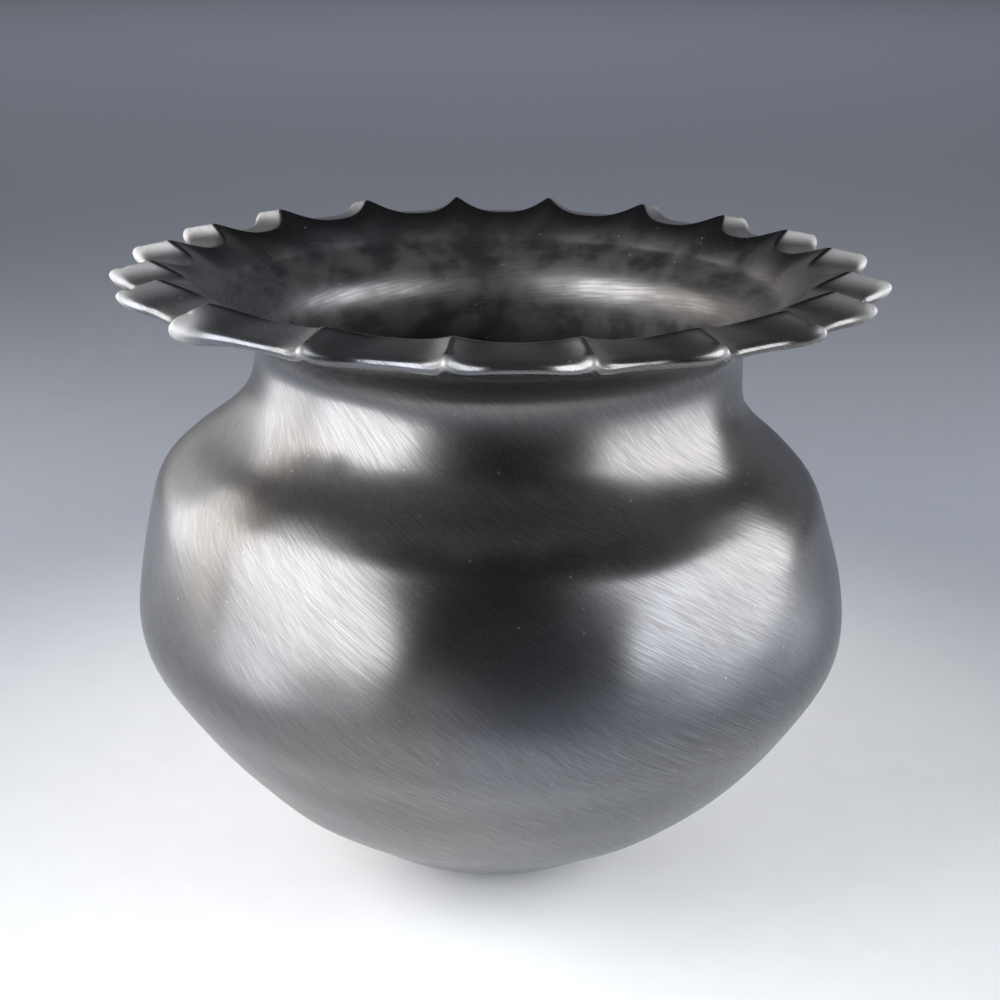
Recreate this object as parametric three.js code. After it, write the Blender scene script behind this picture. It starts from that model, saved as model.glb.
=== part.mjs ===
// A wide-mouthed burnished black clay pot with a flared lip of twenty pinched points.
// The wall is put together the way the potter does it: a pressed base disc, coils luted on
// one above the other, and a flared collar whose edge is pinched into the points of the lip.
// Millimetres, +Z up, the origin at the middle of the flat resting face.
import * as THREE from "three";

// Driving dimensions of the wall
const FOOT_RADIUS = 22;
const BELLY_RADIUS = 119;
const BELLY_HEIGHT = 91;
const SHOULDER_RADIUS = 109.5;
const SHOULDER_HEIGHT = 138;
const NECK_RADIUS = 80.9;
const NECK_HEIGHT = 176;
const COLLAR_RADIUS = 93;
const COLLAR_HEIGHT = 195;
const WALL = 5.5;
const COLLAR_WALL = 4.3;
const FLOOR = 7;

// Driving dimensions of the lip, a ring of ridges with a thumb-pressed scoop between each two.
// The crest is where the inside surface ends; the edge is the outermost line of the lip.
const RIDGE = {
  crest: new THREE.Vector2(111, 212),
  edge: new THREE.Vector2(122.5, 207.3),
  insideBend: new THREE.Vector2(98, 207),
  topBend: new THREE.Vector2(117, 211.3),
  nose: 2.4,
};
const SCOOP = {
  crest: new THREE.Vector2(100.5, 208),
  edge: new THREE.Vector2(115, 204.4),
  insideBend: new THREE.Vector2(95, 204.4),
  topBend: new THREE.Vector2(109.5, 207.3),
  nose: 2,
};
const UNDERSIDE_BEND = new THREE.Vector2(101, 203);

// How the inside, the outer edge and the top yield from a ridge to the middle of a scoop
const CREST_PRESS = { rounding: 0.05, sharpness: 2.6 };
const EDGE_PRESS = { rounding: 0.13, sharpness: 3.2 };
const TOP_PRESS = { rounding: 0.03, sharpness: 5 };

// One point, counted from the first, is a broad blunt horn that droops a little
const BLUNT = { point: 14, rounding: 0.3, edge: new THREE.Vector2(120.7, 205.9), nose: 4 };

// Widths of the scoops in degrees, anticlockwise from above, from the point at FIRST_POINT
const SCOOP_WIDTHS = [20, 17, 17, 18, 19, 18, 18, 19, 18, 17, 17, 15, 19, 23, 19, 18, 18, 18, 16, 16];
const FIRST_POINT = -10.5;

// How far the hand-built pot departs from a turned one: the neck stands to one side of the
// body, and both body and rim lean, as slopes of height against x
const NECK_OFFSET = 3.4;
const BODY_LEAN = 0.03;
const RIM_LEAN = 0.011;

// Each coil runs up to the height given, on the outside of the wall
const BASE_TOP = 11;
const COILS = [
  { name: "lower_wall_coil_1", top: 35 },
  { name: "lower_wall_coil_2", top: 62 },
  { name: "belly_coil_1", top: 90 },
  { name: "belly_coil_2", top: 118 },
  { name: "shoulder_coil_1", top: 142 },
  { name: "shoulder_coil_2", top: 162 },
  { name: "neck_coil", top: 182 },
  { name: "collar_coil", top: COLLAR_HEIGHT },
];

// The luted joints: a gap between neighbours, and how far the inside edge laps over
const GAP = 0.3;
const LAP = 3;

// Fineness of the meshes
const AROUND = 60;
const OUTSIDE_SPANS = 4;
const INSIDE_SPANS = 3;
const LIP_STATIONS = [-1, -0.6, -0.34, -0.18, -0.09, -0.03, 0, 0.03, 0.09, 0.18, 0.34, 0.6, 1];

const OUTLINE = new THREE.SplineCurve([
  new THREE.Vector2(FOOT_RADIUS, 0),
  new THREE.Vector2(42, 8.5),
  new THREE.Vector2(61, 20.5),
  new THREE.Vector2(79.5, 34.5),
  new THREE.Vector2(94.5, 50),
  new THREE.Vector2(107, 66),
  new THREE.Vector2(115.8, 79.5),
  new THREE.Vector2(BELLY_RADIUS, BELLY_HEIGHT),
  new THREE.Vector2(117.7, 106),
  new THREE.Vector2(114, 124),
  new THREE.Vector2(SHOULDER_RADIUS, SHOULDER_HEIGHT),
  new THREE.Vector2(100.8, 147.8),
  new THREE.Vector2(90, 156.8),
  new THREE.Vector2(83.2, 166),
  new THREE.Vector2(NECK_RADIUS, NECK_HEIGHT),
  new THREE.Vector2(81.1, 184),
  new THREE.Vector2(85, 190),
  new THREE.Vector2(COLLAR_RADIUS, COLLAR_HEIGHT),
]);
OUTLINE.arcLengthDivisions = 1000;
const OUTLINE_LENGTH = OUTLINE.getLength();

// A place on the outside of the wall, by its distance along the outline from the foot
function outside(along) {
  return OUTLINE.getPointAt(THREE.MathUtils.clamp(along / OUTLINE_LENGTH, 0, 1));
}

// The place on the inside of the wall opposite that one; the wall thins up the neck
function inside(along) {
  const share = THREE.MathUtils.clamp(along / OUTLINE_LENGTH, 0, 1);
  const place = OUTLINE.getPointAt(share);
  const tangent = OUTLINE.getTangentAt(share);
  const inward = new THREE.Vector2(-tangent.y, tangent.x);
  const thinned = THREE.MathUtils.smoothstep(place.y, 160, 188);
  return place.addScaledVector(inward, THREE.MathUtils.lerp(WALL, COLLAR_WALL, thinned));
}

// How far along the outline the outside of the wall reaches a height
function alongAt(height) {
  let low = 0;
  let high = OUTLINE_LENGTH;
  while (high - low > 0.001) {
    const middle = (low + high) / 2;
    if (outside(middle).y < height) {
      low = middle;
    } else {
      high = middle;
    }
  }
  return high;
}

function samples(place, from, to, spans) {
  const points = [];
  for (let i = 0; i <= spans; i += 1) {
    points.push(place(THREE.MathUtils.lerp(from, to, i / spans)));
  }
  return points;
}

// Moves every vertex of a turned shape to where the hand-built pot has it
function settle(geometry) {
  const position = geometry.getAttribute("position");
  const smoothstep = THREE.MathUtils.smoothstep;
  for (let i = 0; i < position.count; i += 1) {
    const x = position.getX(i);
    const z = position.getZ(i);
    const lean = THREE.MathUtils.lerp(BODY_LEAN, RIM_LEAN, smoothstep(z, 170, 200));
    position.setX(i, x + NECK_OFFSET * smoothstep(z, 148, 182));
    position.setZ(i, z - x * lean * smoothstep(z, 0, 28));
  }
  return geometry;
}

// Turns a closed outline of (radius, height) points about Z
function turned(outline) {
  const geometry = new THREE.LatheGeometry(outline, AROUND);
  geometry.rotateX(Math.PI / 2);
  return settle(geometry);
}

function baseDiscGeometry() {
  const top = alongAt(BASE_TOP) - GAP / 2;
  return turned([
    new THREE.Vector2(0, 0),
    ...samples(outside, 0, top, OUTSIDE_SPANS),
    inside(top + LAP),
    new THREE.Vector2(FOOT_RADIUS + 4, FLOOR + 1),
    new THREE.Vector2(0, FLOOR),
  ]);
}

// A coil between two places along the wall; its inside edges sit higher than its outside ones
function coilGeometry(from, to) {
  const outer = samples(outside, from + GAP / 2, to - GAP / 2, OUTSIDE_SPANS);
  const inner = samples(inside, to + LAP - GAP / 2, from + LAP + GAP / 2, INSIDE_SPANS);
  return turned([...outer, ...inner, outer[0]]);
}

function bend(start, control, end, spans) {
  return new THREE.QuadraticBezierCurve(start, control, end).getPoints(spans);
}

// How far the clay is pressed at a station of a lip point, from 0 on the ridge to 1 mid-scoop
function press(station, { rounding, sharpness }) {
  const distance = Math.hypot(station, rounding) - rounding;
  const whole = Math.hypot(1, rounding) - rounding;
  return 1 - (1 - distance / whole) ** sharpness;
}

// The outline of the lip at that station, anticlockwise from where its underside meets the collar
function lipOutline(station, isBlunt) {
  const crestPress = press(station, CREST_PRESS);
  const edgeRounding = isBlunt ? BLUNT.rounding : EDGE_PRESS.rounding;
  const edgePress = press(station, { ...EDGE_PRESS, rounding: edgeRounding });
  const topPress = press(station, TOP_PRESS);
  const crest = RIDGE.crest.clone().lerp(SCOOP.crest, crestPress);
  const insideBend = RIDGE.insideBend.clone().lerp(SCOOP.insideBend, crestPress);
  const topBend = RIDGE.topBend.clone().lerp(SCOOP.topBend, topPress);
  const ridge = isBlunt ? BLUNT : RIDGE;
  const edge = ridge.edge.clone().lerp(SCOOP.edge, edgePress);
  edge.y = THREE.MathUtils.lerp(ridge.edge.y, SCOOP.edge.y, topPress);
  const nose = THREE.MathUtils.lerp(ridge.nose, SCOOP.nose, edgePress);

  const collarEnd = outside(OUTLINE_LENGTH);
  const step = collarEnd.clone().sub(outside(OUTLINE_LENGTH - 1)).setLength(GAP);
  const rootOutside = collarEnd.add(step);
  const rootInside = inside(OUTLINE_LENGTH).add(step);
  const edgeUnder = new THREE.Vector2(edge.x - nose / 2, edge.y - nose);
  const edgeTip = new THREE.Vector2(edge.x + nose, edge.y);
  const edgeOver = new THREE.Vector2(edge.x - nose / 4, edge.y + nose);
  return [
    ...bend(rootOutside, UNDERSIDE_BEND, edgeUnder, 2),
    edgeTip,
    ...bend(edgeOver, topBend, crest, 3),
    ...bend(crest, insideBend, rootInside, 2).slice(1),
  ];
}

// Spreads outlines round the axis at their angles and closes the two end faces
function lofted(outlines, angles) {
  const count = outlines[0].length;
  const vertices = [];
  outlines.forEach((outline, i) => {
    outline.forEach((p) => {
      vertices.push(p.x * Math.cos(angles[i]), p.x * Math.sin(angles[i]), p.y);
    });
  });
  const faces = [];
  for (let i = 0; i + 1 < outlines.length; i += 1) {
    for (let j = 0; j < count; j += 1) {
      const a = i * count + j;
      const b = i * count + ((j + 1) % count);
      faces.push(a, a + count, b, b, a + count, b + count);
    }
  }
  const last = (outlines.length - 1) * count;
  THREE.ShapeUtils.triangulateShape(outlines[0], []).forEach(([a, b, c]) => {
    faces.push(a, b, c);
  });
  THREE.ShapeUtils.triangulateShape(outlines[outlines.length - 1], []).forEach(([a, b, c]) => {
    faces.push(last + a, last + c, last + b);
  });
  const geometry = new THREE.BufferGeometry();
  geometry.setAttribute("position", new THREE.Float32BufferAttribute(vertices, 3));
  geometry.setIndex(faces);
  return settle(geometry);
}

// One point of the lip: a ridge with half a scoop on either side of it
function lipPointGeometry(ridgeAngle, halfBefore, halfAfter, isBlunt) {
  const halfGap = GAP / 2 / RIDGE.crest.x;
  const angles = LIP_STATIONS.map((station) => {
    const half = station < 0 ? halfBefore : halfAfter;
    return ridgeAngle + station * (half - halfGap);
  });
  return lofted(LIP_STATIONS.map((station) => lipOutline(station, isBlunt)), angles);
}

function clay(name, color, roughness, metalness) {
  return new THREE.MeshStandardMaterial({ name, color, roughness, metalness });
}

function addPart(pot, name, geometry, material) {
  geometry.computeVertexNormals();
  const mesh = new THREE.Mesh(geometry, material);
  mesh.name = name;
  pot.add(mesh);
}

function buildPot() {
  const pot = new THREE.Group();
  pot.name = "black_clay_pot";
  const burnished = () => clay("burnished_black_clay", 0x2e2d30, 0.34, 0.5);
  const rubbed = () => clay("rubbed_black_clay", 0x38373a, 0.4, 0.5);

  addPart(pot, "base_disc", baseDiscGeometry(), burnished());
  let from = alongAt(BASE_TOP);
  COILS.forEach((coil) => {
    const to = alongAt(coil.top);
    addPart(pot, coil.name, coilGeometry(from, to), burnished());
    from = to;
  });

  let angle = THREE.MathUtils.degToRad(FIRST_POINT);
  SCOOP_WIDTHS.forEach((width, i) => {
    const before = SCOOP_WIDTHS.at(i - 1);
    const halfBefore = THREE.MathUtils.degToRad(before / 2);
    const halfAfter = THREE.MathUtils.degToRad(width / 2);
    const name = `lip_point_${String(i + 1).padStart(2, "0")}`;
    const isBlunt = i + 1 === BLUNT.point;
    addPart(pot, name, lipPointGeometry(angle, halfBefore, halfAfter, isBlunt), rubbed());
    angle += 2 * halfAfter;
  });
  return pot;
}

export default buildPot();
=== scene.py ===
"""A burnished black clay pot with a flared lip of twenty pinched points, on a pale table.

Every length is in metres, in the frame of the CAD part: +Z up, -Y towards the viewer, and the
origin at the middle of the flat resting face. The clay is one continuous skin, cut at the
luted joints into the same sections as the CAD part.
"""

import math

import bpy
import numpy as np
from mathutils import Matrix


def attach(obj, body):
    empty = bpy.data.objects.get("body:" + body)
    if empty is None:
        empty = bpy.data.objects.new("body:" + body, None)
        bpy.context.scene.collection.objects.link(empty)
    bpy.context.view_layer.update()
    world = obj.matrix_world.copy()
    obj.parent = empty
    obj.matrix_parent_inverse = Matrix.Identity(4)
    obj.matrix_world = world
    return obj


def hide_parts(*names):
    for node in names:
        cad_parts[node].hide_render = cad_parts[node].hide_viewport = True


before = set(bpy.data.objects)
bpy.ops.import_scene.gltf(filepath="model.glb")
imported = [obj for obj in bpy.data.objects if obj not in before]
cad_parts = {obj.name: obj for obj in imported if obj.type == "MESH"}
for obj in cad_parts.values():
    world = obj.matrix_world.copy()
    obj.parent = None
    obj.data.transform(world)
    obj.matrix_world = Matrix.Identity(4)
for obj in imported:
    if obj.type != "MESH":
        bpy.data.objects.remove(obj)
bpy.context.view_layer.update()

# ---------------------------------------------------------------------------------------------
# The shape of the clay
# ---------------------------------------------------------------------------------------------

# The wall thins from the shoulder to the collar, between the heights of THINNING
WALL = 0.0055
COLLAR_WALL = 0.0043
THINNING = (0.160, 0.188)

# The floor's thickness, how far up the outside the base reaches, and how much further along the
# wall a joint comes out on the inside than on the outside
FLOOR = 0.007
BASE_TOP = 0.011
LAP = 0.003

# The inside of the base, as (radius, height): the bend of the bowl and the edge of its middle
BOWL_BEND = (0.026, 0.008)
BOWL_MIDDLE = (0.008, FLOOR)
CENTRE_RADIUS = 0.0004

# Rows of the resting face, as shares of its radius
FOOT_SHARES = (0.02, 0.25, 0.5, 0.75, 0.9, 0.97)

# The outside of the wall from the foot to the collar, as (radius, height)
OUTLINE = [
    (0.022, 0.0),
    (0.042, 0.0085),
    (0.061, 0.0205),
    (0.0795, 0.0345),
    (0.0945, 0.050),
    (0.107, 0.066),
    (0.1158, 0.0795),
    (0.119, 0.091),
    (0.1177, 0.106),
    (0.114, 0.124),
    (0.1095, 0.138),
    (0.1008, 0.1478),
    (0.090, 0.1568),
    (0.0832, 0.166),
    (0.0809, 0.176),
    (0.0811, 0.184),
    (0.085, 0.190),
    (0.093, 0.195),
]

# The sections of the wall above the base, and the height that each reaches on the outside
COILS = {
    "lower_wall_coil_1": 0.035,
    "lower_wall_coil_2": 0.062,
    "belly_coil_1": 0.090,
    "belly_coil_2": 0.118,
    "shoulder_coil_1": 0.142,
    "shoulder_coil_2": 0.162,
    "neck_coil": 0.182,
    "collar_coil": 0.195,
}

# The lip's section on a ridge and in the middle of a scoop, as (radius, height)
RIDGE = {
    "crest": (0.111, 0.212),
    "edge": (0.1225, 0.2073),
    "inside_bend": (0.098, 0.207),
    "top_bend": (0.117, 0.2113),
    "nose": 0.0024,
}
SCOOP = {
    "crest": (0.1005, 0.208),
    "edge": (0.1150, 0.2044),
    "inside_bend": (0.095, 0.2044),
    "top_bend": (0.1095, 0.2073),
    "nose": 0.0020,
}
UNDERSIDE_BEND = (0.101, 0.203)
CREST_ROUNDING = 0.0009

# The rounded nose of the lip's edge, as places about its middle in units of its radius
NOSE_UNDER = (-0.5, -1)
NOSE_LOW_CORNER = (0.8, -1)
NOSE_TIP = (1, 0)
NOSE_HIGH_CORNER = (0.9, 0.8)
NOSE_OVER = (-0.25, 1)

# How the clay yields from a ridge towards the middle of a scoop, as (rounding, sharpness)
CREST_PRESS = (0.05, 2.6)
EDGE_PRESS = (0.13, 3.2)
TOP_PRESS = (0.03, 5.0)

# One point, counted from the first, is a broad blunt horn that droops a little
BLUNT_POINT = 14
BLUNT_ROUNDING = 0.3
BLUNT_EDGE = (0.1207, 0.2059)
BLUNT_NOSE = 0.0040

# Widths of the scoops in degrees, anticlockwise from above, from the point at FIRST_POINT
SCOOP_WIDTHS = [20, 17, 17, 18, 19, 18, 18, 19, 18, 17, 17, 15, 19, 23, 19, 18, 18, 18, 16, 16]
FIRST_POINT = -10.5

# How far the hand-built pot departs from a turned one
NECK_OFFSET = 0.0034
BODY_LEAN = 0.03
RIM_LEAN = 0.011

# The neck moves over between the first two heights, the body's lean gives way to the rim's
# between the next two, and the lean sets in above the resting face
OFFSET_HEIGHTS = (0.148, 0.182)
RIM_HEIGHTS = (0.170, 0.200)
LEAN_STARTS = (0, 0.028)

# Fineness of the skin
OUTLINE_SAMPLES = 200
WALL_STEP = 0.0028
UNDERSIDE_SPANS = 12
NOSE_SPANS = 5
TOP_SPANS = 15
CREST_SPANS = 4
FLARE_SPANS = 9
HALF_STATIONS = [0, 0.011, 0.022, 0.035, 0.05, 0.07, 0.095, 0.125, 0.16, 0.2, 0.25, 0.31, 0.38]
HALF_STATIONS += [0.46, 0.55, 0.64, 0.73, 0.82, 0.91]

# Marks of the pinching: a crease on every ridge from the crest outwards, as (half width, depth),
# and on the ridges in front a pit on top near the end, and a rough nub at the tip, both as
# (radius, depth or height). The pit and the nub are centred on rows of the lip, counted from
# its root under the edge, and TOP_ROWS are the rows between the nub and the crest.
CREASE = (0.0004, 0.00035)
PIT = (0.0009, 0.0010)
PIT_ROW = 24
NUB = (0.0017, 0.0004)
NUB_ROW = 18
TOP_ROWS = (23, 35)

# The usual distance along the lip from a ridge to the middle of a scoop
RIDGE_SPACING = 0.0178

# How far the clay is pale from the line of a ridge, and from the tip of a point to left and
# right, of any point, and of the blunt one. The pale is wear, and on the ridges and tips to
# left and right and towards the back it is also a painted sheen, where the softboxes glance off
WEAR_AND_SHEEN_ROWS = (12, 37)
RIDGE_WEAR_AND_SHEEN_WIDTH = 0.0050
SIDE_TIP_SHEEN = 0.0038
WORN_TIP = 0.0022
WORN_HORN = 0.0062
WORN_HORN_ROW = NUB_ROW + 2

# How strong the wear and the painted sheen are there, and the wear all over the top of the
# lip, which sets in and dies out between these rows
RIDGE_WEAR_AND_SHEEN = 0.85
HORN_WEAR = 1.5
TOP_WEAR = 0.15
TOP_WEAR_STARTS = (16, 22)
TOP_WEAR_ENDS = (33, 39)

# Uneven hand work: soft waves in the wall, as (wavelength, depth). A few waves of each length
# run in different directions, each with the depth over WAVE_CROWDING. They set in above the
# resting face and mostly die out in the collar.
WALL_WAVES = [(0.085, 0.00045), (0.052, 0.00028), (0.031, 0.00013)]
WAVES_A_LENGTH = 5
WAVE_CROWDING = 2.2
WAVE_SEED = 7
WAVES_START = (0.004, 0.03)
WAVES_END = (0.18, 0.2)
WAVES_LEFT_IN_LIP = 0.2


def smooth(value, start, end):
    """0 before start, 1 after end, and an S-curve between."""
    t = np.clip((value - start) / (end - start), 0, 1)
    return t * t * (3 - 2 * t)


def mixed(a, b, share):
    """From a to b, where share may be a number for each column."""
    return np.multiply.outer(1 - share, a) + np.multiply.outer(share, b)


def outline_curve():
    """The outline as a Catmull-Rom curve: its points, and how far along it each one is."""
    knots = np.array(OUTLINE)
    padded = np.vstack([knots[:1], knots, knots[-1:]])
    t = np.linspace(0, 1, OUTLINE_SAMPLES, endpoint=False)[:, None]
    spans = []
    for before, start, end, after in zip(padded, padded[1:], padded[2:], padded[3:]):
        leave = (end - before) / 2
        arrive = (after - start) / 2
        cubic = (2 * start - 2 * end + leave + arrive) * t**3
        square = (3 * end - 3 * start - 2 * leave - arrive) * t**2
        spans.append(cubic + square + leave * t + start)
    points = np.vstack([*spans, knots[-1:]])
    steps = np.linalg.norm(np.diff(points, axis=0), axis=1)
    return points, np.concatenate([[0], np.cumsum(steps)])


CURVE, ALONG = outline_curve()
LENGTH = ALONG[-1]


def outside(along):
    """Places on the outside of the wall, by their distance along the outline from the foot."""
    along = np.clip(along, 0, LENGTH)
    return np.stack([np.interp(along, ALONG, CURVE[:, i]) for i in (0, 1)], -1)


def inside(along):
    """The places on the inside of the wall opposite those."""
    along = np.clip(along, 0, LENGTH)
    ahead = outside(np.minimum(along + 1e-4, LENGTH)) - outside(np.maximum(along - 1e-4, 0))
    ahead /= np.linalg.norm(ahead, axis=-1, keepdims=True)
    inward = np.stack([-ahead[..., 1], ahead[..., 0]], -1)
    place = outside(along)
    wall = WALL + (COLLAR_WALL - WALL) * smooth(place[..., 1:], *THINNING)
    return place + wall * inward


def along_at(height):
    """How far along the outline the outside of the wall reaches a height."""
    return float(np.interp(height, CURVE[:, 1], ALONG))


def bend(start, control, end, spans):
    """Points of a quadratic curve for every column: an array of (spans + 1, columns, 2)."""
    t = np.linspace(0, 1, spans + 1)[:, None, None]
    return (1 - t) ** 2 * start + 2 * t * (1 - t) * control + t**2 * end


def press(station, rounding, sharpness):
    """How far the clay is pressed, from 0 on a ridge to 1 in the middle of a scoop."""
    distance = np.hypot(station, rounding) - rounding
    whole = np.hypot(1, rounding) - rounding
    return 1 - (1 - distance / whole) ** sharpness


def lip_rows(station, blunt):
    """The lip's section at each column, from its underside over the edge to the inside. Blunt
    is 1 in the columns of the blunt point, and 0 in the others."""
    crest_press = press(station, *CREST_PRESS)
    rounding, sharpness = EDGE_PRESS
    edge_press = press(station, rounding + (BLUNT_ROUNDING - rounding) * blunt, sharpness)
    top_press = press(station, *TOP_PRESS)
    crest = mixed(RIDGE["crest"], SCOOP["crest"], crest_press)
    inside_bend = mixed(RIDGE["inside_bend"], SCOOP["inside_bend"], crest_press)
    top_bend = mixed(RIDGE["top_bend"], SCOOP["top_bend"], top_press)
    ridge_edge = mixed(RIDGE["edge"], BLUNT_EDGE, blunt)
    edge_presses = np.stack([edge_press, top_press], -1)
    edge = ridge_edge + (np.array(SCOOP["edge"]) - ridge_edge) * edge_presses
    ridge_nose = RIDGE["nose"] + (BLUNT_NOSE - RIDGE["nose"]) * blunt
    nose = (ridge_nose + (SCOOP["nose"] - ridge_nose) * edge_press)[:, None]

    root_outside = outside(np.array(LENGTH))
    root_inside = inside(np.array(LENGTH))
    under = edge + nose * NOSE_UNDER
    low_corner = edge + nose * NOSE_LOW_CORNER
    tip = edge + nose * NOSE_TIP
    high_corner = edge + nose * NOSE_HIGH_CORNER
    over = edge + nose * NOSE_OVER
    before_crest = crest + CREST_ROUNDING * unit(top_bend - crest)
    after_crest = crest + CREST_ROUNDING * unit(inside_bend - crest)
    return np.concatenate([
        bend(root_outside, np.array(UNDERSIDE_BEND), under, UNDERSIDE_SPANS),
        bend(under, low_corner, tip, NOSE_SPANS)[1:],
        bend(tip, high_corner, over, NOSE_SPANS)[1:],
        bend(over, top_bend, before_crest, TOP_SPANS)[1:],
        bend(before_crest, crest, after_crest, CREST_SPANS)[1:],
        bend(after_crest, inside_bend, root_inside, FLARE_SPANS)[1:],
    ])


def unit(vector):
    return vector / np.linalg.norm(vector, axis=-1, keepdims=True)


def columns():
    """Each column's angle round the pot and its station, from 0 on a ridge to 1 mid-scoop,
    negative before the ridge. The columns of point i run from STARTS[i] to STARTS[i + 1]."""
    angles = []
    stations = []
    starts = []
    ridge = math.radians(FIRST_POINT)
    for i, width in enumerate(SCOOP_WIDTHS):
        before = math.radians(SCOOP_WIDTHS[i - 1]) / 2
        after = math.radians(width) / 2
        starts.append(len(angles))
        steps = [-1] + [-s for s in HALF_STATIONS[:0:-1]] + HALF_STATIONS
        for s in steps:
            angles.append(ridge + s * (before if s < 0 else after))
            stations.append(s)
        ridge += 2 * after
    return np.array(angles), np.array(stations), starts + [len(angles)]


ANGLES, STATIONS, STARTS = columns()


def rows_between(start, end):
    count = max(2, round(abs(end - start) / WALL_STEP))
    return np.linspace(start, end, count + 1)


def build_profile():
    """The whole skin as rows of (radius, height) at every column, from the middle of the base
    up the outside, over the lip and down the inside, and the row where each section starts."""
    column_count = len(ANGLES)
    joints = [along_at(BASE_TOP)] + [along_at(top) for top in COILS.values()]
    rows = []
    outer = []
    inner = []

    def add(points):
        rows.extend(np.broadcast_to(p, (column_count, 2)) for p in points)

    foot = OUTLINE[0][0]
    add([(foot * share, 0.0) for share in FOOT_SHARES])
    edges = [0.0] + joints
    for low, high in zip(edges, edges[1:]):
        outer.append(len(rows))
        add(outside(rows_between(low, high)[:-1]))
    outer.append(len(rows))
    blunt = np.zeros(column_count)
    blunt[STARTS[BLUNT_POINT - 1]:STARTS[BLUNT_POINT]] = 1
    lip = lip_rows(STATIONS, blunt)
    rows.extend(lip)
    inner.append(len(rows) - 1)
    laps = [min(j + LAP, LENGTH) for j in joints]
    laps[-1] = LENGTH
    for high, low in zip(laps[::-1], laps[-2::-1]):
        add(inside(rows_between(high, low)[1:]))
        inner.append(len(rows) - 1)
    foot_inside = inside(np.array(laps[0]))
    add(bend(foot_inside, np.array(BOWL_BEND), np.array(BOWL_MIDDLE), 8)[1:, 0])
    add([(CENTRE_RADIUS, FLOOR)])
    return np.array(rows), outer, inner[::-1]


PROFILE, OUTER_ROWS, INNER_ROWS = build_profile()
LIP_START = OUTER_ROWS[-1]
LIP_END = INNER_ROWS[-1]


def settle(points):
    """Moves a turned shape to where the hand-built pot has it."""
    x = points[..., 0].copy()
    z = points[..., 2].copy()
    lean = BODY_LEAN + (RIM_LEAN - BODY_LEAN) * smooth(z, *RIM_HEIGHTS)
    points[..., 0] = x + NECK_OFFSET * smooth(z, *OFFSET_HEIGHTS)
    points[..., 2] = z - x * lean * smooth(z, *LEAN_STARTS)
    return points


def skin_normals(points):
    """Outward normals of the skin, from its rows and columns."""
    around = np.roll(points, -1, axis=1) - np.roll(points, 1, axis=1)
    along = np.gradient(points, axis=0)
    return unit(np.cross(around, along))


def wall_waves(points):
    """Soft unevenness of the wall: a few seeded waves in every direction."""
    random = np.random.default_rng(WAVE_SEED)
    height = np.zeros(points.shape[:-1])
    for wavelength, depth in WALL_WAVES:
        for _ in range(WAVES_A_LENGTH):
            direction = unit(random.normal(size=3))
            phase = random.uniform(0, 2 * math.pi)
            turns = points @ direction * 2 * math.pi / wavelength
            height += depth / WAVE_CROWDING * np.sin(turns + phase)
    return height


def tip_nearness(points, row, radius, chosen=range(len(SCOOP_WIDTHS))):
    """1 on the given row of the lip at each chosen ridge, falling to 0 over about that radius."""
    nearness = np.zeros(points.shape[:-1])
    lip = points[LIP_START:LIP_END + 1]
    for i in chosen:
        start, end = STARTS[i:i + 2]
        ridge = start + int(np.argmin(np.abs(STATIONS[start:end])))
        distance = np.linalg.norm(lip - lip[row, ridge], axis=-1)
        nearness[LIP_START:LIP_END + 1] += np.exp(-((distance / radius) ** 2))
    return nearness


def pinch_marks(points):
    """Heights of the crease on every ridge, and of the pit and the nub on those in front."""
    width, depth = CREASE
    pit_radius, pit_depth = PIT
    nub_radius, nub_height = NUB
    aside = np.abs(STATIONS) * RIDGE_SPACING
    crease = np.zeros(points.shape[:-1])
    first, last = (LIP_START + row for row in TOP_ROWS)
    crease[first:last] = -depth * np.exp(-((aside / width) ** 2))
    pit = -pit_depth * tip_nearness(points, PIT_ROW, pit_radius)
    nub = nub_height * tip_nearness(points, NUB_ROW, nub_radius)
    in_front = smooth(-np.sin(ANGLES), -0.1, 0.5)
    return crease + (pit + nub) * in_front


def build_skin():
    """The points and normals of the whole skin."""
    radius = PROFILE[..., 0]
    points = np.stack([radius * np.cos(ANGLES), radius * np.sin(ANGLES), PROFILE[..., 1]], -1)
    points = settle(points)
    normals = skin_normals(points)
    height_above = points[..., 2]
    lost = (1 - WAVES_LEFT_IN_LIP) * smooth(height_above, *WAVES_END)
    share = smooth(height_above, *WAVES_START) * (1 - lost)
    height = wall_waves(points) * share + pinch_marks(points)
    points = points + height[..., None] * normals
    return points, skin_normals(points)


POINTS, NORMALS = build_skin()


# ---------------------------------------------------------------------------------------------
# Cutting the skin into its sections
# ---------------------------------------------------------------------------------------------

STROKE_RADIUS = 0.11


def stroke_map():
    """For every point, a place on a cylinder: its angle, and how far it is along the skin."""
    middle = POINTS.mean(axis=1)
    radius = PROFILE.mean(axis=1)
    steps = np.linalg.norm(np.diff(radius, axis=0), axis=1)
    along = np.concatenate([[0], np.cumsum(steps)])
    along = np.broadcast_to(along[:, None], POINTS.shape[:2])
    around = np.broadcast_to(ANGLES, POINTS.shape[:2])
    return np.stack([STROKE_RADIUS * np.cos(around), STROKE_RADIUS * np.sin(around), along], -1)


STROKES = stroke_map()


def inner_map():
    """0 on the outside and on the lip, rising to 1 down the inside."""
    value = np.zeros(POINTS.shape[:2])
    rows = np.arange(len(POINTS))
    value[:] = smooth(rows, LIP_END - FLARE_SPANS, LIP_END + 2)[:, None]
    return value


INNER = inner_map()


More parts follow.
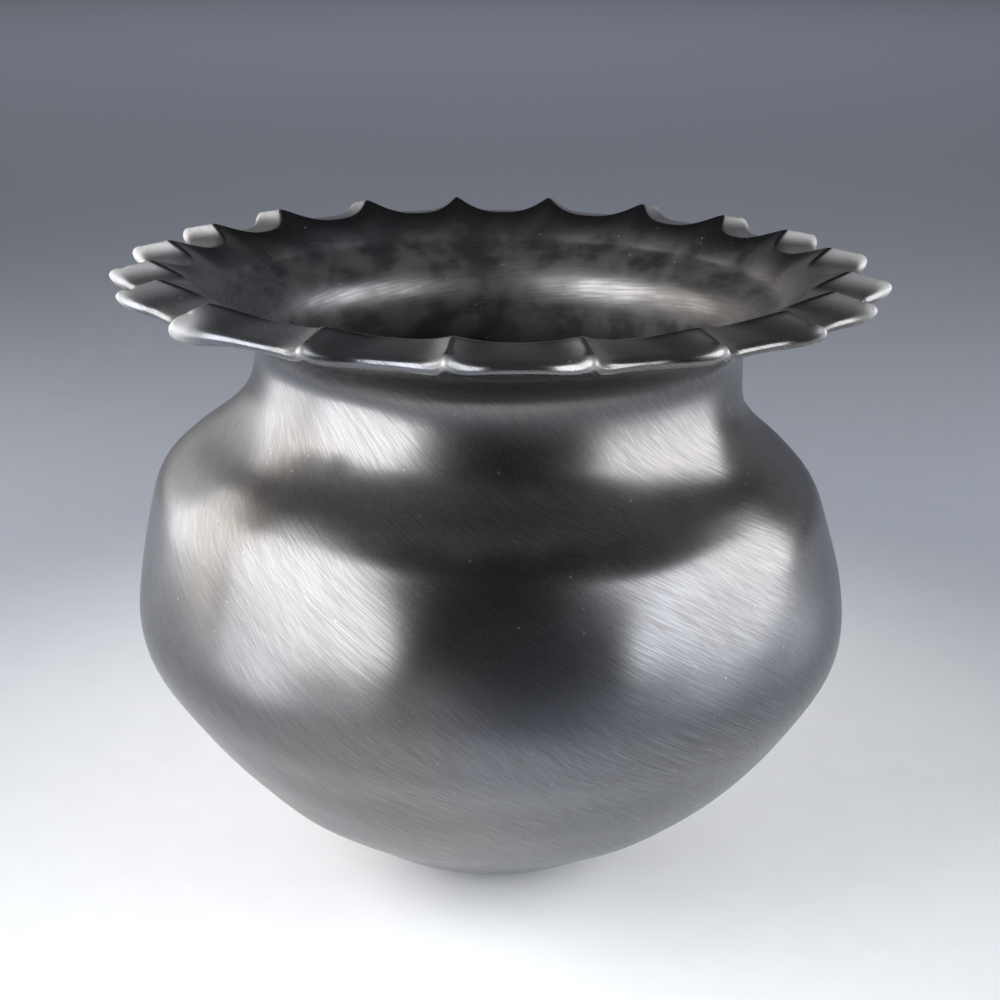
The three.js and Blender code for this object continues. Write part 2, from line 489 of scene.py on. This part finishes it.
def wear_and_sheen_map():
    """Wear, with a painted pale sheen: 1 on the tips of the lip, less along the ridges to left and
    right, a little all over the top of the lip, and 0 elsewhere. The share that places the painted
    sheen, where the softboxes glance off the ridges and tips, is 0 in front, and near 1 to left
    and right."""
    ridge = np.zeros(POINTS.shape[:2])
    first, last = (LIP_START + row for row in WEAR_AND_SHEEN_ROWS)
    ridge[first:last] = np.exp(-((np.abs(STATIONS) * RIDGE_SPACING / RIDGE_WEAR_AND_SHEEN_WIDTH) ** 2))
    # Painted sheen: ridges and tips to left, right and back turn pale where the softboxes glance off
    sheen_sides = np.clip(1.6 * np.abs(np.cos(ANGLES)) + 0.5 * np.sin(ANGLES) - 0.75, 0, 1)
    side_tip_sheen = tip_nearness(POINTS, NUB_ROW, SIDE_TIP_SHEEN) * sheen_sides
    tip = tip_nearness(POINTS, NUB_ROW, WORN_TIP)
    horn = HORN_WEAR * tip_nearness(POINTS, WORN_HORN_ROW, WORN_HORN, [BLUNT_POINT - 1])
    rows = np.arange(len(POINTS)) - LIP_START
    top = TOP_WEAR * smooth(rows, *TOP_WEAR_STARTS) * (1 - smooth(rows, *TOP_WEAR_ENDS))
    return np.clip(RIDGE_WEAR_AND_SHEEN * ridge * sheen_sides + side_tip_sheen + tip + horn + top[:, None], 0, 1)


WEAR_AND_SHEEN = wear_and_sheen_map()


def grid(rows, cols):
    """Quads between neighbouring rows and columns of the skin, as indices into it."""
    width = POINTS.shape[1]
    row = np.array(rows)
    col = np.array(cols) % width
    low = row[:-1, None] * width
    high = row[1:, None] * width
    quads = np.stack([low + col[:-1], low + col[1:], high + col[1:], high + col[:-1]], -1)
    return quads.reshape(-1, 4)


def make_piece(name, faces, hard_faces, material):
    """A piece of clay from faces of the skin, smooth, and the hidden faces of its joints, flat."""
    everything = [list(f) for f in faces] + [list(f) for f in hard_faces]
    used = sorted({i for face in everything for i in face})
    place = {old: new for new, old in enumerate(used)}
    flat = POINTS.reshape(-1, 3)[used]
    mesh = bpy.data.meshes.new(name)
    mesh.from_pydata(flat.tolist(), [], [[place[i] for i in face] for face in everything])
    mesh.polygons.foreach_set("use_smooth", [True] * len(everything))

    skin = NORMALS.reshape(-1, 3)
    loop_normals = [skin[i] for face in everything[: len(faces)] for i in face]
    for polygon in mesh.polygons[len(faces):]:
        loop_normals += [polygon.normal] * len(polygon.vertices)
    mesh.normals_split_custom_set(loop_normals)

    stroke = mesh.attributes.new("stroke", "FLOAT_VECTOR", "POINT")
    stroke.data.foreach_set("vector", STROKES.reshape(-1, 3)[used].astype(np.float32).ravel())
    inner = mesh.attributes.new("inner", "FLOAT", "POINT")
    inner.data.foreach_set("value", INNER.ravel()[used].astype(np.float32))
    # Wear, and a painted pale sheen on the lip's ridges and tips to left and right
    wear_and_sheen = mesh.attributes.new("wear_and_sheen", "FLOAT", "POINT")
    wear_and_sheen.data.foreach_set("value", WEAR_AND_SHEEN.ravel()[used].astype(np.float32))

    mesh.materials.append(material)
    piece = bpy.data.objects.new("clay_" + name, mesh)
    bpy.context.scene.collection.objects.link(piece)
    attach(piece, "root")
    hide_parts(name)
    return piece


def joint_ring(outer_row, inner_row, upward):
    """The hidden face of a luted joint, from the outside of the wall to the inside."""
    width = POINTS.shape[1]
    col = np.arange(width)
    after = (col + 1) % width
    quads = np.stack([
        outer_row * width + col,
        outer_row * width + after,
        inner_row * width + after,
        inner_row * width + col,
    ], -1)
    return quads if upward else quads[:, ::-1]


def make_base(material):
    width = POINTS.shape[1]
    around = np.arange(width + 1)
    last = len(POINTS) - 1
    outer = grid(np.arange(0, OUTER_ROWS[1] + 1), around)
    inner = grid(np.arange(INNER_ROWS[0], last + 1), around)
    middle_below = [tuple(range(width - 1, -1, -1))]
    middle_above = [tuple(last * width + i for i in range(width))]
    ring = joint_ring(OUTER_ROWS[1], INNER_ROWS[0], True)
    faces = [*outer, *inner, *middle_below, *middle_above]
    return make_piece("base_disc", faces, ring, material)


def make_coil(i, name, material):
    around = np.arange(POINTS.shape[1] + 1)
    outer = grid(np.arange(OUTER_ROWS[i + 1], OUTER_ROWS[i + 2] + 1), around)
    inner = grid(np.arange(INNER_ROWS[i + 1], INNER_ROWS[i] + 1), around)
    below = joint_ring(OUTER_ROWS[i + 1], INNER_ROWS[i], False)
    above = joint_ring(OUTER_ROWS[i + 2], INNER_ROWS[i + 1], True)
    return make_piece(name, [*outer, *inner], [*below, *above], material)


def make_lip_point(i, material):
    width = POINTS.shape[1]
    rows = np.arange(LIP_START, LIP_END + 1)
    cols = np.arange(STARTS[i], STARTS[i + 1] + 1)
    skin = grid(rows, cols)
    first = [tuple(rows * width + cols[0] % width)]
    last = [tuple((rows * width + cols[-1] % width)[::-1])]
    root = grid([LIP_END, LIP_START], cols)
    name = f"lip_point_{i + 1:02d}"
    return make_piece(name, skin, [*first, *last, *root], material)


# ---------------------------------------------------------------------------------------------
# The fired clay
# ---------------------------------------------------------------------------------------------

def node(tree, kind, inputs=None, **settings):
    """Adds a node, with its settings, and its inputs from values or from other outputs."""
    made = tree.nodes.new(kind)
    for key, value in settings.items():
        setattr(made, key, value)
    for key, value in (inputs or {}).items():
        if isinstance(value, bpy.types.NodeSocket):
            tree.links.new(value, made.inputs[key])
        else:
            made.inputs[key].default_value = value
    return made


def math_node(tree, operation, a, b, clamp=False):
    made = node(tree, "ShaderNodeMath", {0: a, 1: b}, operation=operation, use_clamp=clamp)
    return made.outputs[0]


def span(tree, value, low, high, to_low, to_high):
    """Maps low..high smoothly to to_low..to_high, and holds it there outside."""
    inputs = {"Value": value, "From Min": low, "From Max": high, "To Min": to_low, "To Max": to_high}
    made = node(tree, "ShaderNodeMapRange", inputs, interpolation_type="SMOOTHSTEP")
    return made.outputs[0]


def blended(tree, share, a, b):
    """Colour a where share is 0, and b where it is 1."""
    inputs = {"Factor": share, "A": a, "B": b}
    made = node(tree, "ShaderNodeMix", data_type="RGBA")
    for key, value in inputs.items():
        socket = next(s for s in made.inputs if s.name == key and s.enabled)
        if isinstance(value, bpy.types.NodeSocket):
            tree.links.new(value, socket)
        else:
            socket.default_value = value
    return next(s for s in made.outputs if s.enabled)


def noise(tree, place, scale, detail, roughness=0.5):
    """A cloudy pattern from 0 to 1, with features about 1 / scale across."""
    inputs = {"Vector": place, "Scale": scale, "Detail": detail, "Roughness": roughness}
    return node(tree, "ShaderNodeTexNoise", inputs).outputs["Fac"]


def strokes(tree, place, twist, width, length):
    """Fine burnishing strokes that climb round the pot. Twist is how fast they turn, in radians
    for each metre along the wall; width and length are a stroke's own."""
    slope = math.atan(1 / abs(twist * STROKE_RADIUS))
    along = node(tree, "ShaderNodeSeparateXYZ", {0: place}).outputs["Z"]
    angle = math_node(tree, "MULTIPLY", along, twist)
    turned = node(
        tree, "ShaderNodeVectorRotate", {"Vector": place, "Angle": angle}, rotation_type="Z_AXIS"
    ).outputs[0]
    across = math.sin(slope) / width
    scale = (across, across, 1 / (length * math.sin(slope)))
    stretched = node(
        tree, "ShaderNodeVectorMath", {0: turned, 1: scale}, operation="MULTIPLY"
    ).outputs[0]
    return noise(tree, stretched, 1.0, 2.0)


# The clay's colours
WARM_GRAPHITE = (0.205, 0.192, 0.180, 1)
COOL_GRAPHITE = (0.184, 0.196, 0.222, 1)
STROKE_SHADE = (0.13, 0.125, 0.125, 1)
DULL_CLAY = (0.16, 0.150, 0.143, 1)
# Pale tips: the colour of wear, and of a painted sheen on the tips to left and right
TIP_SHADE = (0.28, 0.275, 0.27, 1)
TIP_PALE = (0.50, 0.49, 0.475, 1)
GRIT_PALE = (0.55, 0.53, 0.50, 1)

# Burnishing strokes, as (twist, width, length)
OUTER_STROKES = (14.0, 0.00032, 0.013)
STEEP_STROKES = (8.0, 0.00032, 0.009)
INSIDE_STROKES = (-90.0, 0.0006, 0.018)
BROAD_STROKES = (13.0, 0.0030, 0.040)

# How rough the clay is between the strokes and in them, and what each kind of place adds
ROUGHNESS_RANGE = (0.31, 0.24)
CLOUD_ROUGHNESS = (-0.02, 0.03)
INSIDE_ROUGHNESS = 0.06
DULL_ROUGHNESS = 0.13
WORN_ROUGHNESS = 0.26
GRIT_ROUGHNESS = 0.3

# Its metallic share where it is rubbed best, and how much the inside loses, and the places of
# wear and painted sheen, which turn matte and pale
BEST_SHINE = 0.975
INSIDE_LOSS = (0.07, 0.24)
WEAR_AND_SHEEN_LOSS = 0.65

# Depths of the relief, in millimetres
BROAD_DEPTH = 0.020
LINE_DEPTH = 0.0055
GRAIN_DEPTH = 0.003
KNOB_DEPTH = 0.5
MILLIMETRE = 0.001


def added(tree, first, *others):
    """The sum of the first value and each (value, share) pair."""
    total = first
    for value, share in others:
        total = math_node(tree, "ADD", total, math_node(tree, "MULTIPLY", value, share))
    return total


def make_grit(tree, place):
    """Pale grains, each a fraction of a millimetre, in one cell of a few: 0 to 0.3."""
    cells = node(tree, "ShaderNodeTexVoronoi", {"Vector": place, "Scale": 210.0, "Randomness": 1.0})
    near = span(tree, cells.outputs["Distance"], 0.05, 0.09, 1.0, 0.0)
    cell_number = node(tree, "ShaderNodeSeparateColor", {0: cells.outputs["Color"]}).outputs[0]
    return math_node(tree, "MULTIPLY", near, span(tree, cell_number, 0.60, 0.62, 0.0, 0.3))


def clay_material(name):
    """Carbon-black clay rubbed to a dull metallic shine, with the marks of the rubbing, and a
    painted pale sheen on the lip's tips to left and right.
    """
    material = bpy.data.materials.new(name)
    material.use_nodes = True
    tree = material.node_tree
    tree.nodes.clear()

    place = node(tree, "ShaderNodeTexCoord").outputs["Object"]
    stroke = node(tree, "ShaderNodeAttribute", attribute_name="stroke").outputs["Vector"]
    inner = node(tree, "ShaderNodeAttribute", attribute_name="inner").outputs["Fac"]
    wear_and_sheen = node(tree, "ShaderNodeAttribute", attribute_name="wear_and_sheen").outputs["Fac"]
    clouds = noise(tree, place, 17.0, 3.0)
    tints = noise(tree, place, 9.0, 1.0)
    mottle = noise(tree, place, 70.0, 5.0, 0.6)
    grain = noise(tree, place, 1700.0, 2.0)
    grit = make_grit(tree, place)

    # Strokes run steeply up the outside, and nearly level inside
    outer_strokes = strokes(tree, stroke, *OUTER_STROKES)
    steep_strokes = strokes(tree, stroke, *STEEP_STROKES)
    inside_strokes = strokes(tree, stroke, *INSIDE_STROKES)
    broad_strokes = strokes(tree, stroke, *BROAD_STROKES)
    steep_share = span(tree, clouds, 0.4, 0.6, 0.15, 0.6)
    lines = blended(tree, steep_share, outer_strokes, steep_strokes)
    lines = blended(tree, inner, lines, inside_strokes)

    # Colour: graphite, warmer and cooler in clouds, darker between the strokes, dull in patches
    # inside, and pale on the tips: wear, and a painted sheen on the tips to left and right
    cool_share = span(tree, tints, 0.38, 0.62, 0.0, 1.0)
    graphite = blended(tree, cool_share, WARM_GRAPHITE, COOL_GRAPHITE)
    rubbed = blended(tree, span(tree, lines, 0.3, 0.7, 0.0, 1.0), STROKE_SHADE, graphite)
    dull = math_node(tree, "MULTIPLY", span(tree, mottle, 0.38, 0.68, 0.0, 1.0), inner)
    rubbed = blended(tree, math_node(tree, "MULTIPLY", dull, 0.6), rubbed, DULL_CLAY)
    rubbed = blended(tree, wear_and_sheen, rubbed, blended(tree, mottle, TIP_SHADE, TIP_PALE))
    colour = blended(tree, grit, rubbed, GRIT_PALE)

    # Shine: streaky on the outside, duller in patches inside, and matte on the tips, under the wear
    # and the painted sheen
    roughness = added(
        tree,
        span(tree, lines, 0.25, 0.75, *ROUGHNESS_RANGE),
        (span(tree, clouds, 0.35, 0.65, *CLOUD_ROUGHNESS), 1.0),
        (inner, INSIDE_ROUGHNESS),
        (dull, DULL_ROUGHNESS),
        (wear_and_sheen, WORN_ROUGHNESS),
        (grit, GRIT_ROUGHNESS),
    )
    inside_loss = math_node(tree, "MULTIPLY", span(tree, mottle, 0.38, 0.66, *INSIDE_LOSS), inner)
    loss = added(tree, inside_loss, (wear_and_sheen, WEAR_AND_SHEEN_LOSS), (grit, 1.0))
    metallic = math_node(tree, "SUBTRACT", BEST_SHINE, loss, clamp=True)

    # Relief: broad soft strokes, fine strokes, the grain of the clay, and knobbly tips under the
    # wear and the painted sheen
    relief = added(
        tree,
        math_node(tree, "MULTIPLY", broad_strokes, BROAD_DEPTH),
        (lines, LINE_DEPTH),
        (grain, GRAIN_DEPTH),
        (math_node(tree, "MULTIPLY", mottle, wear_and_sheen), KNOB_DEPTH),
    )
    bump = node(tree, "ShaderNodeBump", {"Strength": 1.0, "Distance": MILLIMETRE, "Height": relief})

    shader = node(tree, "ShaderNodeBsdfPrincipled", {
        "Base Color": colour,
        "Metallic": metallic,
        "Roughness": roughness,
        "Normal": bump.outputs[0],
    })
    output = node(tree, "ShaderNodeOutputMaterial")
    tree.links.new(shader.outputs[0], output.inputs[0])
    return material


# ---------------------------------------------------------------------------------------------
# The table, the light and the camera
# ---------------------------------------------------------------------------------------------

TABLE_RADIUS = 7.0
TABLE_CORNERS = 96
# The table's colour paints a pool of light: pale near the pot, dimming into blue-grey far away,
# between the two distances given below
TABLE_LIT_NEAR = (0.90, 0.90, 0.895, 1)
TABLE_DIM_FAR = (0.345, 0.365, 0.405, 1)
TABLE_LIGHT_FALLOFF = (0.07, 0.40)
TABLE_ROUGHNESS = 0.7

# The painted pool of light reaches further in front of the pot: the table stays pale further
# out there, as if distances there were this much less
FRONT_SHRINK = 0.6

PANEL_DISTANCE = 0.80
PANEL_CLEARANCE = 0.01

WALL_LEFT = (1.25, 1.20, 1.15, 1)
WALL_RIGHT = (0.20, 0.20, 0.22, 1)
ROOM_DARK = (0.010, 0.010, 0.011, 1)
BACKDROP = (0.16, 0.17, 0.20, 1)

CAMERA_PLACE = (0.0034, -0.600, 0.333)
CAMERA_DROP = 18.87
CAMERA_LENS = 67.36
SENSOR_WIDTH = 36


def table_material():
    """Pale paper with a faint fleck, and a painted fall-off of light: pale near the pot, running
    away into blue-grey.
    """
    material = bpy.data.materials.new("table_paper")
    material.use_nodes = True
    tree = material.node_tree
    shader = tree.nodes["Principled BSDF"]
    place = node(tree, "ShaderNodeTexCoord").outputs["Object"]
    parts = node(tree, "ShaderNodeSeparateXYZ", {0: place})
    back = parts.outputs["Y"]
    ahead = math_node(tree, "MAXIMUM", back, math_node(tree, "MULTIPLY", back, FRONT_SHRINK))
    drawn_in = node(tree, "ShaderNodeCombineXYZ", {"X": parts.outputs["X"], "Y": ahead}).outputs[0]
    away = node(tree, "ShaderNodeVectorMath", {0: drawn_in}, operation="LENGTH").outputs["Value"]
    # Painted fall-off of light: pale near the pot, blue-grey far away
    painted_falloff = blended(tree, span(tree, away, *TABLE_LIGHT_FALLOFF, 0.0, 1.0), TABLE_LIT_NEAR, TABLE_DIM_FAR)
    shade = span(tree, noise(tree, place, 60.0, 2.0), 0.3, 0.7, 0.98, 1.0)
    colour = node(tree, "ShaderNodeVectorMath", {0: painted_falloff, "Scale": shade}, operation="SCALE")
    tree.links.new(colour.outputs[0], shader.inputs["Base Color"])
    shader.inputs["Roughness"].default_value = TABLE_ROUGHNESS
    return material


def make_table():
    """A large round table top, level with the resting face."""
    corners = []
    for i in range(TABLE_CORNERS):
        angle = 2 * math.pi * i / TABLE_CORNERS
        corners.append((TABLE_RADIUS * math.cos(angle), TABLE_RADIUS * math.sin(angle), 0.0))
    mesh = bpy.data.meshes.new("table")
    mesh.from_pydata(corners, [], [tuple(range(TABLE_CORNERS))])
    mesh.materials.append(table_material())
    table = bpy.data.objects.new("table", mesh)
    bpy.context.scene.collection.objects.link(table)


def make_area(name, size, radiance, colour):
    """A soft rectangular light of that radiance, which the camera doesn't see."""
    width, tall = size
    data = bpy.data.lights.new(name, "AREA")
    data.shape = "RECTANGLE"
    data.size = width
    data.size_y = tall
    data.energy = radiance * math.pi * width * tall
    data.color = colour
    light = bpy.data.objects.new(name, data)
    bpy.context.scene.collection.objects.link(light)
    light.visible_camera = False
    return light


def make_panel(name, azimuth, roll, size, radiance, colour):
    """A large softbox that stands on the table and faces the pot. Azimuth 0 is the viewer's
    side, and a positive one is to the viewer's right. Roll tips it in its own plane: a positive
    one raises the edge on its left as it faces the pot."""
    light = make_area(name, size, radiance, colour)
    turn = math.radians(azimuth)
    x = PANEL_DISTANCE * math.sin(turn)
    y = -PANEL_DISTANCE * math.cos(turn)
    light.location = (x, y, size[1] / 2 + PANEL_CLEARANCE)
    light.rotation_euler = (math.radians(90), math.radians(roll), turn)


def make_floor_lights():
    """Lights the far table from above, and the near table from the right, without a reflection
    in the clay."""
    back = make_area("back_light", (4.0, 3.0), 1.05, (0.92, 0.97, 1.08))
    back.location = (0, 3.2, 2.2)
    near = make_area("near_light", (0.9, 0.9), 1.64, (1.0, 1.0, 1.0))
    near.location = (1.0, -0.65, 0.75)
    near.rotation_euler = (math.radians(58), 0, math.radians(57))
    for light in (back, near):
        light.visible_glossy = False


def make_lights():
    """A tall softbox on the left that wraps round to the side, a lower one on the right, and the
    lights over the table."""
    make_panel("left_softbox", -59, -7, (0.80, 1.07), 5.8, (0.945, 0.975, 1.03))
    make_panel("left_rear_softbox", -106, 0, (0.56, 0.70), 4.0, (1.02, 0.99, 0.95))
    make_panel("right_softbox", 78, 7, (1.12, 0.69), 4.5, (0.955, 0.98, 1.02))
    make_floor_lights()


def make_world():
    """A dark room over and behind the viewer, with a wall beyond the pot that is lightest low
    down on the left. The camera itself sees a plain grey backdrop."""
    world = bpy.data.worlds.new("room")
    world.use_nodes = True
    tree = world.node_tree
    direction = node(tree, "ShaderNodeTexCoord").outputs["Generated"]
    parts = node(tree, "ShaderNodeSeparateXYZ", {0: direction})
    far = span(tree, parts.outputs["Y"], 0.15, 0.75, 0.0, 1.0)
    low = span(tree, parts.outputs["Z"], 0.22, 0.58, 1.0, 0.0)
    leftward = span(tree, parts.outputs["X"], -0.75, -0.10, 1.0, 0.0)
    paint = blended(tree, leftward, WALL_RIGHT, WALL_LEFT)
    room = blended(tree, math_node(tree, "MULTIPLY", far, low), ROOM_DARK, paint)
    seen = node(tree, "ShaderNodeLightPath").outputs["Is Camera Ray"]
    shown = blended(tree, seen, room, BACKDROP)
    tree.links.new(shown, tree.nodes["Background"].inputs["Color"])
    bpy.context.scene.world = world


def make_camera():
    data = bpy.data.cameras.new("camera")
    data.lens = CAMERA_LENS
    data.sensor_width = SENSOR_WIDTH
    camera = bpy.data.objects.new("camera", data)
    bpy.context.scene.collection.objects.link(camera)
    camera.location = CAMERA_PLACE
    camera.rotation_euler = (math.radians(90 - CAMERA_DROP), 0, 0)
    bpy.context.scene.camera = camera


def build():
    body_clay = clay_material("burnished_black_clay")
    lip_clay = clay_material("rubbed_black_clay")
    make_base(body_clay)
    for i, name in enumerate(COILS):
        make_coil(i, name, body_clay)
    for i in range(len(SCOOP_WIDTHS)):
        make_lip_point(i, lip_clay)
    make_table()
    make_lights()
    make_world()
    make_camera()
    bpy.context.scene.view_settings.view_transform = "Standard"


build()
